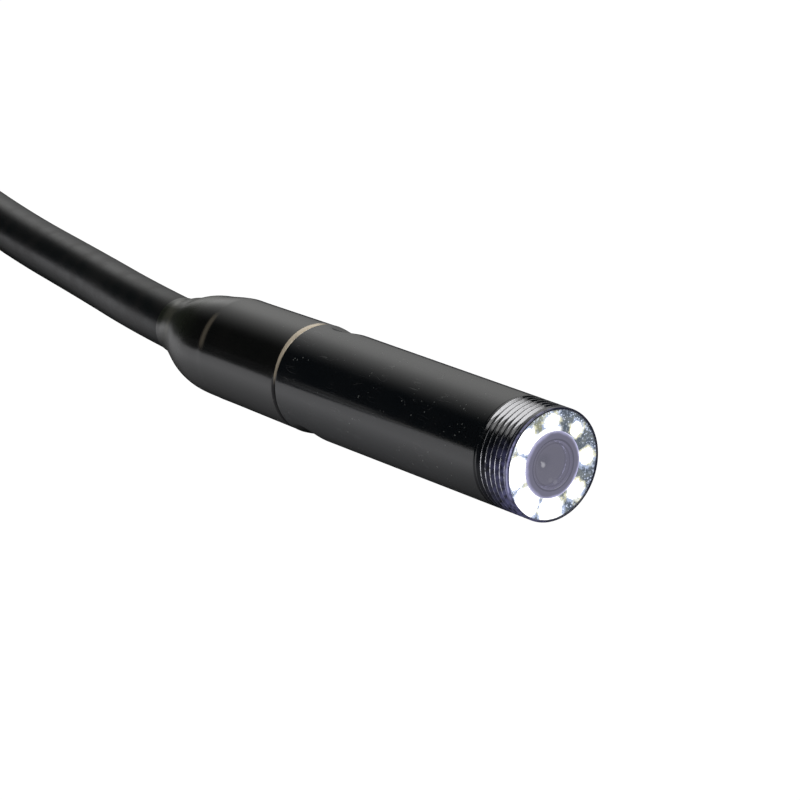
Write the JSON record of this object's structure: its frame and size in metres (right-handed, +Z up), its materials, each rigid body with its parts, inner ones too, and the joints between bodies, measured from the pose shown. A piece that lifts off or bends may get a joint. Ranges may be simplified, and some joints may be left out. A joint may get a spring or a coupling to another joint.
{
  "type": "inspection camera",
  "caption": "Slim waterproof inspection camera head with a ring of lamps round its lens and a threaded nose, on a semi-rigid cable that ends in a plug with a lamp dimmer.",
  "frame": {"origin": "under the middle of the head, on the surface that it lies on", "axes": "+X along the head's axis, out of the lens; +Z up; the cable leaves along -X and bends towards +Y"},
  "size_m": [0.1548, 0.0655, 0.0104],
  "materials": {
    "barrel_black": "gloss black anodised metal",
    "sleeve_rubber": "satin black adhesive-lined rubber",
    "cable_jacket": "satin black jacket",
    "housing_steel": "turned steel",
    "window_resin": "clear cast window",
    "lens_glass": "coated glass",
    "filter_glass": "infrared filter glass",
    "lamp_white": "lit lamp",
    "holder_grey": "dark grey coated metal",
    "optics_black": "matt black",
    "board_white": "white solder mask",
    "board_green": "green solder mask",
    "chip_black": "moulded chip",
    "sensor_face": "sensor under glass",
    "ceramic_tan": "ceramic",
    "crystal_can": "metal can",
    "ribbon_amber": "amber film",
    "wire_cover": "wire insulation",
    "seal_rubber": "soft seal rubber",
    "clamp_steel": "crimped steel",
    "adhesive_clear": "set adhesive",
    "tie_fabric": "hook and loop strap",
    "plug_plastic": "fine-textured moulded plastic",
    "relief_rubber": "moulded rubber",
    "wheel_plastic": "ribbed moulded plastic",
    "button_plastic": "moulded plastic",
    "screw_steel": "plated steel",
    "connector_steel": "plated sheet",
    "tongue_white": "insulator",
    "contact_gold": "gold-plated contacts"
  },
  "bodies": {
    "camera": {"front_barrel": "barrel_black", "rear_sleeve": "sleeve_rubber", "jacket_end": "cable_jacket", "cable_lead": "cable_jacket", "cable_coil": "cable_jacket", "cable_tail": "cable_jacket", "rear_housing": "housing_steel", "lamp_window": "window_resin", "cover_glass": "lens_glass", "front_lens": "lens_glass", "rear_lens": "lens_glass", "infrared_filter": "filter_glass", "lamps": "lamp_white", "lens_holder": "holder_grey", "lens_tube": "optics_black", "aperture_stop": "optics_black", "lens_spacer": "optics_black", "lamp_board": "board_white", "sensor_board": "board_green", "main_board": "board_green", "plug_board": "board_green", "processor_chip": "chip_black", "memory_chip": "chip_black", "button_switch": "chip_black", "image_sensor": "sensor_face", "board_capacitors": "ceramic_tan", "lamp_resistors": "ceramic_tan", "clock_crystal": "crystal_can", "sensor_ribbon": "ribbon_amber", "cable_wires": "wire_cover", "lamp_leads": "wire_cover", "plug_wires": "wire_cover", "body_seal": "seal_rubber", "cable_clamp": "clamp_steel", "adhesive_fill": "adhesive_clear", "coil_tie": "tie_fabric", "plug_base": "plug_plastic", "plug_cover": "plug_plastic", "plug_relief": "relief_rubber", "plug_screws": "screw_steel", "dimmer_pin": "screw_steel", "connector_shell": "connector_steel", "connector_tongue": "tongue_white", "connector_contacts": "contact_gold"},
    "dimmer": {"dimmer_wheel": "wheel_plastic"},
    "button": {"picture_button": "button_plastic"}
  },
  "joints": [
    {"name": "dimmer_turn", "type": "hinge", "parent": "camera", "child": "dimmer", "pos_m": [-0.0583, -0.0392, 0.0048], "axis": [0, 0, 1], "range_deg": [0, 270]},
    {"name": "button_press", "type": "slide", "parent": "camera", "child": "button", "axis": [0, 0, -1], "range_m": [0, 0.0004], "stiffness_N_per_m": 300}
  ]
}
